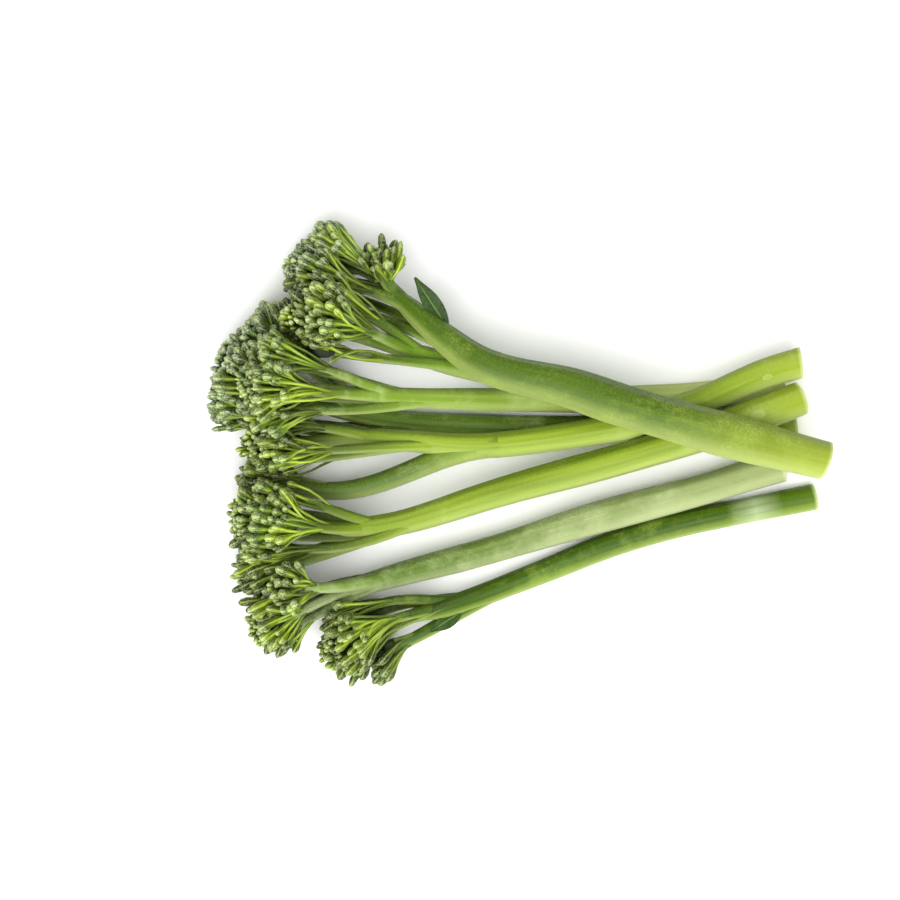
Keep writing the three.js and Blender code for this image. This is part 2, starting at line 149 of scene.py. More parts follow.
# Bezier curves, many at once: point k of n, each (count, 3), is weighed at the share t by
# choose(n, k) * t^k * (1 - t)^(n - k)
def arcs(shares, *points):
    t = np.asarray(shares, float)[None, :, None]
    top = len(points) - 1
    return sum(comb(top, k) * t ** k * (1 - t) ** (top - k) * spot[:, None]
               for k, spot in enumerate(points))


# Tubes, many at once: point = centre + radius * (cos a * side + sin a * up), with a cap at each
# end. Paths are (n, rings, 3), radii (rings), (n, rings) or (n, rings, sides), along, the second
# UV value, is (rings) or (n, rings), and moved (n, rings, sides, 3) may be added to the points.
def tubes(paths, radii, sides, along, helper=None, tangents=None, moved=0):
    count, rings = paths.shape[:2]
    tangents = unit(np.gradient(paths, axis=1)) if tangents is None else tangents
    if helper is None:
        helper = np.eye(3)[np.abs(paths[:, -1] - paths[:, 0]).argmin(axis=1)][:, None]
    side = unit(np.cross(tangents, helper))
    up = np.cross(tangents, side)
    angle = 2 * np.pi * np.arange(sides) / sides
    ring = np.cos(angle)[:, None] * side[:, :, None] + np.sin(angle)[:, None] * up[:, :, None]
    radii = radii if radii.ndim == 3 else np.atleast_2d(radii)[..., None]
    points = paths[:, :, None] + radii[..., None] * ring + moved
    # corners and UV of the walls, ring by ring, and of the caps
    index = np.arange(count * rings * sides).reshape(count, rings, sides)
    turned = np.roll(index, -1, axis=2)
    walls = np.stack([index[:, :-1], turned[:, :-1], turned[:, 1:], index[:, 1:]], -1)
    caps = np.concatenate([index[:, 0, ::-1], index[:, -1]])
    uv = np.empty((count, rings, sides + 1, 2))
    uv[..., 0] = np.arange(sides + 1) / sides
    uv[..., 1] = along[..., None]
    low, high = uv[:, :-1], uv[:, 1:]
    wallUv = np.stack([low[:, :, :-1], low[:, :, 1:], high[:, :, 1:], high[:, :, :-1]], -2)
    capUv = np.concatenate([uv[:, 0, -2::-1], uv[:, -1, :-1]])
    return {
        "points": points.reshape(-1, 3),
        "corners": np.concatenate([walls.ravel(), caps.ravel()]),
        "sizes": np.concatenate([np.full(walls.size // 4, 4), np.full(2 * count, sides)]),
        "uv": np.concatenate([wallUv.reshape(-1, 2), capUv.reshape(-1, 2)]),
    }


# Closed egg on a grid of latitude and angle: centre + longer * radius * high along the axis, with
# a ring of radius * wide * (1 + dents * cos(5 a) * cos(7 high)) round it
def egg(centre, radius, axis, longer, rows, sides, dents, pole=0.06):
    high = np.cos(np.linspace(pole, np.pi - pole, rows))[::-1]
    wide = np.sqrt(1 - high ** 2)
    path = centre + np.outer(high * radius * longer, axis)
    turn = 2 * np.pi * np.arange(sides) / sides
    radii = (wide * radius)[:, None] * (1 + dents * np.cos(5 * turn) * np.cos(7 * high)[:, None])
    tangents = np.broadcast_to(axis, (1, rows, 3))
    helper = np.eye(3)[np.abs(axis).argmin()]
    return tubes(path[None], radii[None], sides, np.linspace(0, 1, rows), helper, tangents)


# One mesh object from shells: each shell has points in mm, corners, face sizes, uv, a material
# number and a value of each attribute for its points
def pieceFrom(name, shells, materials, attributes=()):
    offsets = np.cumsum([0] + [len(shell["points"]) for shell in shells])
    points = np.concatenate([shell["points"] for shell in shells]) / 1000
    points[:, 2] = np.maximum(points[:, 2], 0)      # the lowest stems lie flat on the surface
    corners = np.concatenate([shell["corners"] + start for shell, start in zip(shells, offsets)])
    sizes = np.concatenate([shell["sizes"] for shell in shells])
    starts = np.concatenate([[0], np.cumsum(sizes)[:-1]])
    slots = np.concatenate([np.full(len(shell["sizes"]), shell.get("material", 0)) for shell in shells])
    mesh = bpy.data.meshes.new(name)
    mesh.vertices.add(len(points))
    mesh.vertices.foreach_set("co", points.astype(np.float32).ravel())
    mesh.loops.add(len(corners))
    mesh.loops.foreach_set("vertex_index", corners.astype(np.int32))
    mesh.polygons.add(len(sizes))
    mesh.polygons.foreach_set("loop_start", starts.astype(np.int32))
    mesh.polygons.foreach_set("material_index", slots.astype(np.int32))
    mesh.polygons.foreach_set("use_smooth", np.ones(len(sizes), bool))
    mesh.update(calc_edges=True)
    skin = mesh.uv_layers.new(name="skin")
    uv = np.concatenate([shell["uv"] for shell in shells])
    skin.uv.foreach_set("vector", uv.astype(np.float32).ravel())
    for key in attributes:
        values = [np.broadcast_to(shell.get(key, 0.0), len(shell["points"])) for shell in shells]
        layer = mesh.attributes.new(key, "FLOAT", "POINT")
        layer.data.foreach_set("value", np.concatenate(values).astype(np.float32))
    for material in materials:
        mesh.materials.append(material)
    mesh.validate()
    piece = bpy.data.objects.new(name, mesh)
    bpy.context.scene.collection.objects.link(piece)
    print(name, "has", int((sizes - 2).sum()), "triangles")
    return piece


# sRGB numbers up to 255 become a linear colour, and a colour that comes from a node stays
def shadeOf(colour):
    if isinstance(colour, bpy.types.NodeSocket):
        return colour
    share = np.array(colour) / 255
    linear = np.where(share < 0.04045, share / 12.92, ((share + 0.055) / 1.055) ** 2.4)
    return (*[float(value) for value in linear], 1.0)


# Sets a node's inputs, or links those whose value comes from another node
def connect(tree, node, values):
    for key, value in values.items():
        if isinstance(value, bpy.types.NodeSocket):
            tree.links.new(value, node.inputs[key])
        else:
            node.inputs[key].default_value = value


# Adds a node with its options and inputs
def place(tree, kind, inputs=None, **options):
    made = tree.nodes.new("ShaderNode" + kind)
    for key, value in options.items():
        setattr(made, key, value)
    connect(tree, made, inputs or {})
    return made


# A sum, product or other operation on values
def maths(tree, operation, *values):
    return place(tree, "Math", dict(enumerate(values)), operation=operation).outputs[0]


def times(tree, one, two):
    return maths(tree, "MULTIPLY", one, two)


# How far a value is from another, without its sign
def offBy(tree, value, spot):
    return maths(tree, "ABSOLUTE", maths(tree, "SUBTRACT", value, spot))


# Carries low..high over to outLow..outHigh in a straight line, and stops at both
def between(tree, value, low, high, outLow=0.0, outHigh=1.0):
    made = place(tree, "MapRange", {"Value": value, "From Min": low, "From Max": high,
                                    "To Min": outLow, "To Max": outHigh})
    return made.outputs["Result"]


# Lays colours over the first in turn, each by its share: body + share * (colour - body)
def layered(tree, body, *layers):
    for share, colour in layers:
        body = place(tree, "Mix", {0: share, 6: shadeOf(body), 7: shadeOf(colour)},
                     data_type="RGBA").outputs[2]
    return body


# A colour that changes along a value through (position, colour) stops
def ramp(tree, value, stops):
    made = place(tree, "ValToRGB", {"Fac": value})
    elements = made.color_ramp.elements
    while len(elements) < len(stops):
        elements.new(0.5)
    for element, (position, colour) in zip(elements, stops):
        element.position = position
        element.color = shadeOf(colour)
    return made.outputs["Color"]


def noise(tree, spot, scale, detail, rough):
    inputs = {"Vector": spot, "Scale": scale, "Detail": detail, "Roughness": rough}
    return place(tree, "TexNoise", inputs).outputs["Fac"]


def bumped(tree, height, strength, distance):
    made = place(tree, "Bump", {"Height": height, "Strength": strength, "Distance": distance})
    return made.outputs["Normal"]


# The X and Y of the piece's own UV
def skinUv(tree):
    skin = place(tree, "UVMap", uv_map="skin").outputs["UV"]
    return place(tree, "SeparateXYZ", {"Vector": skin}).outputs


# The value of one of the mesh's attributes
def valueOf(tree, key):
    return place(tree, "Attribute", attribute_name=key).outputs["Fac"]


# The outputs of a node group, placed with its own values
def effect(tree, group, **values):
    return place(tree, "Group", values, node_tree=group).outputs


# A new node group with named inputs and outputs, all of them numbers
def newGroup(name, inputs, outputs):
    tree = bpy.data.node_groups.new(name, "ShaderNodeTree")
    for label, value in inputs.items():
        socket = tree.interface.new_socket(label, in_out="INPUT", socket_type="NodeSocketFloat")
        socket.default_value = value
    for label in outputs:
        tree.interface.new_socket(label, in_out="OUTPUT", socket_type="NodeSocketFloat")
    return tree, tree.nodes.new("NodeGroupInput").outputs, tree.nodes.new("NodeGroupOutput").inputs


def newMaterial(name):
    material = bpy.data.materials.new(name)
    material.use_nodes = True
    tree = material.node_tree
    return material, tree, tree.nodes["Principled BSDF"]


# Waxy bloom: soft patches and fine specks on Object coordinates, as two masks
def bloomGroup():
    tree, given, out = newGroup("waxyBloom", {"Patches": 90.0, "Specks": 900.0, "Spread": 0.5},
                                ("Bloom", "Speck"))
    spot = place(tree, "TexCoord").outputs["Object"]
    low = maths(tree, "SUBTRACT", 0.72, times(tree, given["Spread"], 0.4))
    high = maths(tree, "ADD", low, 0.16)
    patches = between(tree, noise(tree, spot, given["Patches"], 4.0, 0.6), low, high)
    tree.links.new(patches, out["Bloom"])
    tree.links.new(noise(tree, spot, given["Specks"], 3.0, 0.65), out["Speck"])
    return tree


# Streaks along a stem: noise on (cos 2 pi u, sin 2 pi u, v), so that it closes round the stem
def streakGroup():
    tree, given, out = newGroup("stemStreaks", {"Around": 6.0, "Along": 1.2, "Shift": 0.0},
                                ("Streak", "Fine"))
    uv = skinUv(tree)
    turn = times(tree, uv["X"], 2 * np.pi)
    ahead = maths(tree, "ADD", times(tree, uv["Y"], given["Along"]), given["Shift"])
    for label, finer in (("Streak", 1.0), ("Fine", 4.0)):
        around = times(tree, given["Around"], finer)
        spot = place(tree, "CombineXYZ", {"X": times(tree, maths(tree, "COSINE", turn), around),
                                          "Y": times(tree, maths(tree, "SINE", turn), around),
                                          "Z": ahead}).outputs["Vector"]
        tree.links.new(noise(tree, spot, 1.0, 3.0, 0.6), out[label])
    return tree


# Scar where a leaf grew: an oval on the skin's UV, as a rim mask and an inside mask. Girth is the
# way round the stem in the units of v, and the oval is longer along the stem than across it.
def scarGroup():
    tree, given, out = newGroup("leafScar", {"Turn": 0.25, "Place": 0.5, "Size": 0.05,
                                             "Girth": 0.35}, ("Rim", "Inside"))
    uv = skinUv(tree)
    across = times(tree, maths(tree, "SUBTRACT", uv["X"], given["Turn"]), given["Girth"])
    ahead = times(tree, maths(tree, "SUBTRACT", uv["Y"], given["Place"]), 0.62)
    far = maths(tree, "ADD", times(tree, across, across), times(tree, ahead, ahead))
    away = maths(tree, "DIVIDE", maths(tree, "SQRT", far), given["Size"])
    tree.links.new(between(tree, offBy(tree, away, 0.85), 0.3, 0.0), out["Rim"])
    tree.links.new(between(tree, away, 0.85, 0.55), out["Inside"])
    return tree


waxyBloom = bloomGroup()
stemStreaks = streakGroup()
leafScar = scarGroup()

plainStem = {
    "around": 2.2, "along": 1.6,    # streaks
    "patches": 60.0, "specks": 1300.0, "bloom": 0.45, "wax": 0.5, "grains": 0.45, "rough": 0.42,
    "shade": (82, 116, 18), "light": (128, 158, 46), "white": (178, 196, 126),
    "end": (160, 182, 66), "pale": 0.8, "paleTo": 0.35,     # from the cut end, in tenths of a metre
    # darker green towards the head: partly the neck's own tone, partly painted shade from the heads
    "neck": (72, 104, 16), "dark": 0.7, "darkFrom": 1.3,
    # a darker green for side shoots, partly painted shade from the stems above them, and a near-black
    # green for the branches inside a head, painted shade
    "shoot": (56, 84, 18), "inside": (24, 42, 4),
    # a paler front side, painted light from the low lamp's side, and a darker back, painted shade
    "side": (184, 196, 124), "litSideShare": 0.5, "back": (40, 64, 0), "backShadeShare": 0.4,
    "thinFrostFacing": 0.15,     # place round the stem, as facing, where the frost is thinnest; it thickens towards both edges, partly as painted edge sheen
    "bare": (), "hoar": (186, 200, 156),    # patches of thick bloom: place, width and share
    "dryTo": 0.014, "dry": (208, 220, 150),
    "scars": (), "scar": (190, 204, 130), "scarRim": (196, 210, 140),   # turn, place and size
}
stemLooks = {
    "b": {"shade": (48, 76, 0), "light": (84, 112, 0), "wax": 0.22, "grains": 0.5, "bloom": 0.55,
          "side": (198, 210, 126), "white": (166, 188, 84), "pale": 0.9, "paleTo": 0.6,
          "end": (156, 172, 58)},
    "s2": {},
    # e's tones, its cut end most, are lighter: partly painted light that lifts the shade the stems above
    # cast on it
    "e": {"shade": (116, 142, 40), "light": (160, 178, 88), "end": (214, 222, 140), "pale": 0.9,
          "paleTo": 0.8, "neck": (104, 136, 28), "darkFrom": 0.9},
    "a3": {"shade": (60, 88, 10), "light": (104, 132, 30)},
    "a": {"shade": (104, 130, 18), "light": (150, 170, 44), "wax": 0.25, "grains": 0.4,
          "end": (150, 168, 46), "neck": (104, 128, 44), "shoot": (54, 80, 26),
          "scars": ((0.2, 0.14, 0.011),)},
    "a2": {"shade": (100, 124, 18), "light": (150, 170, 46), "wax": 0.25, "grains": 0.4,
           "end": (148, 166, 46), "scars": ((0.25, 0.17, 0.016),)},
    "c": {"shade": (60, 88, 12), "light": (100, 124, 30), "wax": 0.6, "bloom": 0.7,
          "white": (168, 180, 128), "end": (168, 180, 122), "side": (190, 198, 150), "pale": 0.9,
          "paleTo": 1.3, "neck": (76, 104, 36), "shoot": (112, 142, 50)},
    "d": {"shade": (34, 60, 0), "light": (74, 104, 2), "wax": 0.4, "grains": 0.35, "bloom": 0.5,
          "white": (144, 168, 70), "end": (92, 122, 12), "pale": 0.6, "side": (180, 202, 96),
          "neck": (56, 76, 34), "dark": 0.6, "darkFrom": 1.2, "bare": ((0.22, 0.1, 0.62),)},
}
# from the rim of the cut face, 0, to its middle, 1: a thin skin, a firm green ring, then pith
cutFace = {
    "tones": ((0.0, (150, 178, 60)), (0.12, (176, 200, 92)), (0.3, (214, 226, 134)),
              (0.45, (196, 214, 112)), (0.7, (222, 232, 160)), (1.0, (228, 236, 178))),
    "fibres": (170, 190, 84),
}
stemShader = {"Specular IOR Level": 0.2, "Sheen Weight": 0.05, "Sheen Roughness": 0.4,
              "Sheen Tint": shadeOf((226, 236, 190)), "Subsurface Weight": 0.12,
              "Subsurface Radius": (0.6, 1.0, 0.25), "Subsurface Scale": 0.002}


# Skin of a stem: streaks from a darker to a lighter green, paler to the cut end and darker to the
# neck, that darkening partly the neck's own tone and partly painted shade, with a whitish bloom and
# leaf scars. The cut attribute, 0 at the rim to 1 in the middle, draws the cut face, the shoot
# attribute gives a side shoot its own tone, partly painted shade, and the attribute for the branches
# inside a head darkens them as painted shade. A paler front side is painted light, a darker back is
# painted shade, and the frost thickens along both edges, partly as painted edge sheen.
def stemSkin(name, look, shift):
    material, tree, shader = newMaterial(name)
    uv = skinUv(tree)
    streaks = effect(tree, stemStreaks, Around=look["around"], Along=look["along"], Shift=shift)
    bloom = effect(tree, waxyBloom, Patches=look["patches"], Specks=look["specks"],
                   Spread=look["bloom"])
    fine, patch, speck, cut = streaks["Fine"], bloom["Bloom"], bloom["Speck"], valueOf(tree, "cut")
    # the front side is paler, as painted light, and the back darker, as painted shade; the frost is
    # thinnest on the top, near where u is a quarter, and thickest along both edges, partly real bloom
    # and partly painted edge sheen
    facing = maths(tree, "COSINE", times(tree, uv["X"], 2 * np.pi))
    edgeSheenShare = between(tree, offBy(tree, facing, look["thinFrostFacing"]), 0.1, 0.8, 0.35, 1.0)
    frostAndEdgeSheen = times(tree, between(tree, speck, 0.46, 0.6), edgeSheenShare)
    frostAndEdgeSheen = times(tree, frostAndEdgeSheen, between(tree, patch, 0.0, 1.0, 0.25, 1.0))
    waxed = times(tree, patch, between(tree, fine, 0.35, 0.6, 0.25, 1.0))
    body = layered(
        tree, look["shade"],
        (between(tree, streaks["Streak"], 0.25, 0.75), look["light"]),
        (between(tree, uv["Y"], look["paleTo"], 0.0, 0.0, look["pale"]), look["end"]),
        (between(tree, uv["Y"], look["darkFrom"], look["darkFrom"] + 0.6, 0.0, look["dark"]),
         look["neck"]),
        (times(tree, valueOf(tree, "shoot"), 0.8), look["shoot"]),
        (times(tree, valueOf(tree, "inside"), 0.75), look["inside"]),
        (between(tree, fine, 0.3, 0.7, 0.0, 0.2), look["shade"]),
        (between(tree, facing, -0.4, -1.0, 0.0, look["backShadeShare"]), look["back"]),
        (between(tree, facing, 0.25, 1.0, 0.0, look["litSideShare"]), look["side"]),
        (times(tree, frostAndEdgeSheen, look["grains"]), look["white"]),
        (times(tree, waxed, look["wax"]), look["white"]))
    for spot, wide, share in look["bare"]:
        thick = between(tree, offBy(tree, uv["Y"], spot), wide, 0.0, 0.0, share)
        thick = times(tree, thick, between(tree, streaks["Streak"], 0.3, 0.6, 0.5, 1.0))
        body = layered(tree, body, (thick, look["hoar"]))
    body = layered(tree, body, (between(tree, uv["Y"], look["dryTo"], 0.0, 0.0, 0.6), look["dry"]))
    height = maths(tree, "ADD", times(tree, fine, 0.6), times(tree, speck, 0.12))
    for turn, spot, size in look["scars"]:
        marks = effect(tree, leafScar, Turn=turn, Place=spot, Size=size)
        body = layered(tree, body, (times(tree, marks["Inside"], 0.25), look["scar"]),
                       (times(tree, marks["Rim"], 0.32), look["scarRim"]))
        height = maths(tree, "ADD", height, times(tree, marks["Inside"], 0.5))
    face = layered(tree, ramp(tree, cut, cutFace["tones"]),
                   (between(tree, speck, 0.35, 0.75, 0.0, 0.4), cutFace["fibres"]))
    connect(tree, shader, {
        "Base Color": layered(tree, body, (between(tree, cut, 0.02, 0.1), face)),
        "Roughness": between(tree, waxed, 0.0, 1.0, look["rough"], look["rough"] + 0.2),
        "Normal": bumped(tree, height, 0.35, 0.0004), **stemShader})
    return material


# v runs from the root of a bud's stalk, 0, through the bud's base, 0.4, to its tip, 1. The crown's tones
# go near black at the stalk and round the bud's base as painted shade and near white at the tip as a
# painted highlight; the rim's go dark at the stalk's root as painted shade.
budLook = {
    "crown": ((0.0, (24, 40, 0)), (0.3, (60, 88, 4)), (0.5, (16, 32, 0)), (0.68, (66, 96, 12)),
              (0.86, (160, 186, 84)), (1.0, (236, 244, 184))),
    "rim": ((0.0, (16, 34, 0)), (0.12, (44, 68, 2)), (0.26, (112, 142, 30)), (0.38, (160, 188, 76)),
            (0.46, (154, 182, 48)), (0.62, (138, 168, 36)), (0.82, (48, 80, 16)),
            (1.0, (190, 212, 132))),
    # join is the dark of the leaflets' joins and of the dark veins, and also the painted shade of the
    # clefts, by deep
    "grey": (50, 80, 24), "fresh": (180, 204, 46), "vein": (216, 230, 124), "joinAndShade": (6, 18, 0),
    "deep": 0.84, "crownVeins": 0.3, "wax": 0.38, "white": (222, 232, 162),
}
# the same in a grey-blue green, with the crown's painted shade and painted highlight along v
blueLook = {
    **budLook,
    "crown": ((0.0, (24, 40, 2)), (0.3, (60, 84, 10)), (0.5, (20, 34, 6)), (0.68, (74, 100, 36)),
              (0.86, (160, 182, 120)), (1.0, (232, 240, 204))),
    "grey": (90, 114, 76), "vein": (212, 226, 150), "wax": 0.6, "white": (226, 234, 200),
}
budShader = {"Specular IOR Level": 0.24, "Subsurface Weight": 0.05,
             "Subsurface Radius": (0.6, 1.0, 0.25), "Subsurface Scale": 0.001}


# Skin of the buds and their stalks. The rim attribute leads from the crown's small buds, 0, to
# the large ones at the rim, 1, the tint attribute is the bud's own share between a yellow green
# and a grey green, and the deep attribute darkens the buds in the clefts as painted shade.
def budSkin(name, look):
    material, tree, shader = newMaterial(name)
    uv = skinUv(tree)
    tint, rim = valueOf(tree, "tint"), valueOf(tree, "rim")
    speck = effect(tree, waxyBloom, Patches=160.0, Specks=1500.0, Spread=0.75)["Speck"]
    # veins run along the bud, a light one and a dark one side by side
    veins = effect(tree, stemStreaks, Around=0.9, Along=1.2, Shift=0.0)["Fine"]
    veined = between(tree, rim, 0.0, 1.0, look["crownVeins"], 1.0)
    # four leaflets close over the bud: cos(4 * 2 pi u) is low along the joins
    lobes = maths(tree, "COSINE", times(tree, uv["X"], 8 * np.pi))
    onBud = between(tree, uv["Y"], 0.45, 0.6)
    joins = times(tree, between(tree, lobes, -0.5, -1.0), onBud)
    waxed = times(tree, between(tree, speck, 0.5, 0.64), between(tree, uv["Y"], 0.62, 0.9))
    body = layered(
        tree, ramp(tree, uv["Y"], look["crown"]),
        (rim, ramp(tree, uv["Y"], look["rim"])),
        (between(tree, tint, 0.4, 1.0, 0.0, 0.5), look["grey"]),
        (between(tree, tint, 0.4, 0.0, 0.0, 0.5), look["fresh"]),
        (times(tree, valueOf(tree, "deep"), look["deep"]), look["joinAndShade"]),
        (times(tree, between(tree, veins, 0.5, 0.38, 0.0, 0.52), veined), look["joinAndShade"]),
        (times(tree, between(tree, veins, 0.54, 0.68, 0.0, 0.5), veined), look["vein"]),
        (times(tree, joins, 0.6), look["joinAndShade"]),
        (times(tree, waxed, look["wax"]), look["white"]))
    height = times(tree, maths(tree, "ADD", times(tree, lobes, onBud), speck), 0.5)
    connect(tree, shader, {"Base Color": body, "Roughness": between(tree, speck, 0.3, 0.7, 0.42, 0.62),
                           "Normal": bumped(tree, height, 0.5, 0.0003), **budShader})
    return material


# Near-black green deep inside a head, mottled: painted shade that fills the view between the buds
def shadeCoreSkin():
    material, tree, shader = newMaterial("floretShadeCore")
    speck = effect(tree, waxyBloom, Patches=300.0, Specks=1200.0)["Speck"]
    body = layered(tree, (14, 26, 4), (between(tree, speck, 0.35, 0.65), (34, 52, 10)))
    connect(tree, shader, {"Base Color": body, "Roughness": 0.8,
                           "Normal": bumped(tree, speck, 0.8, 0.0006)})
    return material


leafLook = {"shade": (20, 44, 2), "light": (44, 72, 10), "vein": (72, 104, 34), "veins": 9,
            "rib": (112, 142, 56), "white": (104, 132, 80)}


# Leaf: u runs from edge to edge and v from root to tip. The midrib and the side veins, which
# slant forwards from it, are paler and stand up a little.
def leafSkin(look):
    material, tree, shader = newMaterial("leafBlade")
    uv = skinUv(tree)
    bloom = effect(tree, waxyBloom, Patches=220.0, Specks=1400.0)
    offRib = offBy(tree, uv["X"], 0.5)
    rib = between(tree, offRib, 0.06, 0.0)
    slant = maths(tree, "SUBTRACT", uv["Y"], times(tree, offRib, 0.35))
    veins = maths(tree, "COSINE", times(tree, slant, 2 * np.pi * look["veins"]))
    veins = between(tree, veins, 0.82, 1.0)
    body = layered(tree, look["shade"], (between(tree, bloom["Speck"], 0.35, 0.65), look["light"]),
                   (times(tree, veins, 0.4), look["vein"]), (times(tree, rib, 0.7), look["rib"]),
                   (times(tree, bloom["Bloom"], 0.2), look["white"]))
    height = maths(tree, "ADD", times(tree, rib, 0.6), times(tree, veins, 0.4))
    connect(tree, shader, {"Base Color": body, "Specular IOR Level": 0.25,
                           "Roughness": between(tree, bloom["Speck"], 0.3, 0.7, 0.4, 0.6),
                           "Normal": bumped(tree, height, 0.5, 0.0004)})
    return material


floretMaterials = {"floret": budSkin("budGreen", budLook),
                   "floret_blue": budSkin("budBlueGreen", blueLook)}
shadeCore = shadeCoreSkin()
leafMaterial = leafSkin(leafLook)
print("materials made")

florets = {
    "domeShare": 0.46,      # radius of one dome over the radius of its head
    "domeLong": 1.35,       # a dome is this much longer along the head's axis
    "pressedTo": 0.85,      # lowest place of a dome's middle, over its radius
    "ringTilt": np.radians(84),
    "domeLean": 0.45,       # how far the side domes' own directions turn to the head's
    "skinOut": 3.6,         # how far buds stand out of a dome, for the planes between heads
    "crownStep": 2.0,       # spacing of the buds in the crown and at the rim
    "rimStep": 3.1,
    "crownDeep": 12.0,      # depth behind the head's front where the crown has ended
    "rimFrom": 0.42,        # share at which the rim begins, and the shares over which it does
    "rimOver": (-0.12, 0.12),
    "crownBud": (1.9, 2.6),     # width and length
    "rimBud": (3.1, 6.4),
    "crownShape": (0.6, 0.94, 1.0, 0.7, 0.24),      # width along a bud, over its full width
    "rimShape": (0.42, 0.78, 1.0, 0.78, 0.24),
    "budPlace": (0.13, 0.4, 0.67, 0.9, 1.0),
    "budFrom": 0.4,         # v where the stalk ends and the bud begins
    "curl": 0.1,            # how far a bud's tip bends to the front, over its length
    "clusterStep": 5.6,
    "clusterTo": -0.35,     # no clusters that face away from the dome's direction by more
    "bulge": 1.3,           # how far the middle of a cluster stands out
    "uneven": 0.42,         # how far single buds differ from that
    "backTo": -0.26,        # no buds where a dome's skin faces back by more than this
    "sideTo": -0.12,        # nor where it faces away from the dome's own direction
    "tint": (0.46, 0.27),   # middle and spread of a cluster's tint
    # spreads of what differs from bud to bud
    "noise": {"share": 0.04, "back": 0.08, "tint": 0.16, "heading": 0.2, "width": 0.2,
              "length": 0.22},
    "rootBack": 5.5,        # a cluster's root is this far behind the skin
    "twigBack": (2.0, 6.0),     # its twig leaves the branch this much further back
    "stalkBack": (1.4, 3.8),    # a rim bud's stalk leaves it this far back, over its distance off it
    "stalkLeast": 1.5,      # and this much more
    "fromEnd": {"crown": (0.02, 0.9), "rim": (0.02, 0.85)},     # shares of the branch for that
    "leave": {"crown": 0.3, "rim": 0.4},    # how far a stalk keeps its first direction
    "stalkShares": {"crown": (0.0, 0.5, 1.0), "rim": (0.0, 0.2, 0.4, 0.6, 0.8, 1.0)},
    "stalkRadius": {"crown": (0.45, 0.34), "rim": (0.72, 0.46)},
    "cleftShadeTo": 3.4,          # buds nearer than this to another dome or head are darker, as painted shade
    "sides": 6,             # of a stalk and its bud
    "twigRadius": (1.1, 0.7),
    "twigRings": 6,
    "twigSides": 7,
    "coreSize": 0.44,       # over the dome's radius, as is the place ahead of the dome's middle; the cores are near-black painted shade
    "coreAhead": 0.55,
    "coreGrid": (12, 16),
    "coreDents": 0.16,
    "gap": 0.4,             # from a bud to the plane between heads
    "skinShare": 1.06,      # of another dome's radius, where its buds begin
}


# A head's own directions: the way it faces, level across it, and square to both
def headFrame(faces):
    along = unit(np.array(faces, float))
    across = unit(np.cross([0, 0, 1], along))
    return along, across, np.cross(along, across)


# How far a head reaches in a direction: radius * length of (direction in its frame * spread)
def reach(head, direction):
    spread = np.array(head["spread"]) * (np.array(headFrame(head["faces"])) @ direction)
    return head["radius"] * np.linalg.norm(spread)


# Planes halfway between heads that meet, as (direction away, distance) rows
def planesOf(head, heads):
    planes = []
    centre = np.array(head["centre"], float)
    for other in heads:
        away = np.array(other["centre"], float) - centre
        distance = np.linalg.norm(away)
        if distance == 0:
            continue
        away = away / distance
        mine = reach(head, away) + florets["skinOut"]
        theirs = reach(other, away) + florets["skinOut"]
        if distance <= mine + theirs:
            planes.append((*away, away @ centre + distance * mine / (mine + theirs)))
    return np.array(planes).reshape(-1, 4)


# One dome on the head's axis and a ring of others that lean out, moved clear of the planes. Gives
# their middles, their radius and the way each one leans.
def domesOf(head, planes):
    along, across, rise = headFrame(head["faces"])
    radius = head["radius"] * florets["domeShare"]
    ring = np.arange(1, head["ring"] + 1)
    lean = np.concatenate([[0], np.full(len(ring), florets["ringTilt"])])
    turn = np.concatenate([[0], ring / head["ring"] * 2 * np.pi + head["turn"]])
    far, wide, high = head["spread"]
    out = (np.outer(np.cos(lean) * far, along) + np.outer(np.sin(lean) * np.cos(turn) * wide, across)
           + np.outer(np.sin(lean) * np.sin(turn) * high, rise))
    centres = np.array(head["centre"]) + out * head["radius"] * (1 - florets["domeShare"])
    for number, offset in head.get("nudge", ()):
        centres[number] += offset
    for *away, far in planes:
        over = np.maximum(centres @ away + radius - far, 0)
        centres = centres - np.outer(over, away)
    centres[:, 2] = np.maximum(centres[:, 2], radius * florets["pressedTo"])
    out = unit(unit(out) * (1 - florets["domeLean"]) + along * florets["domeLean"])
    return centres, radius, out


# Directions on a golden spiral, each turned by a small random angle
def spiral(count, draw):
    k = np.arange(count)
    high = 1 - 2 * (k + 0.5) / count
    turn = np.pi * (3 - np.sqrt(5)) * k + draw.uniform(-0.12, 0.12, count)
    wide = np.sqrt(1 - high ** 2)
    return np.stack([wide * np.cos(turn), wide * np.sin(turn), high], -1)


# Vectors with their part along the axis made longer
def stretched(vectors, along, longer):
    return vectors + np.outer(vectors @ along * (longer - 1), along)


# Distance from points to the nearest of the stem lines, less the stem's radius
def clearOf(points, lines):
    least = np.full(len(points), 1e9)
    for spots, radii in lines:
        apart = np.linalg.norm(points[:, None] - spots[None], axis=-1) - radii[None]
        least = np.minimum(least, apart.min(axis=1))
    return least


# Room at a bud: the least distance to the skins of the other domes and to the planes
def roomAt(base, tip, others, radius, along, planes):
    room = np.full(len(base), 9.0)      # more than matters
    for other in others:
        offset = stretched(base - other, along, 1 / florets["domeLong"])
        room = np.minimum(room, np.linalg.norm(offset, axis=1) - radius * florets["skinShare"])
    for *away, far in planes:
        room = np.minimum(room, far - florets["gap"] - np.maximum(base @ away, tip @ away))
    return room


# Way from the crown, 0, to the rim, 1: half from how far a dome's skin turns back, half from how
# deep the spot lies behind the front of the head
def rimShare(directions, skin, along, front):
    deep = (front - skin @ along) / florets["crownDeep"]
    return 0.55 * (1 - directions @ along) + 0.45 * deep


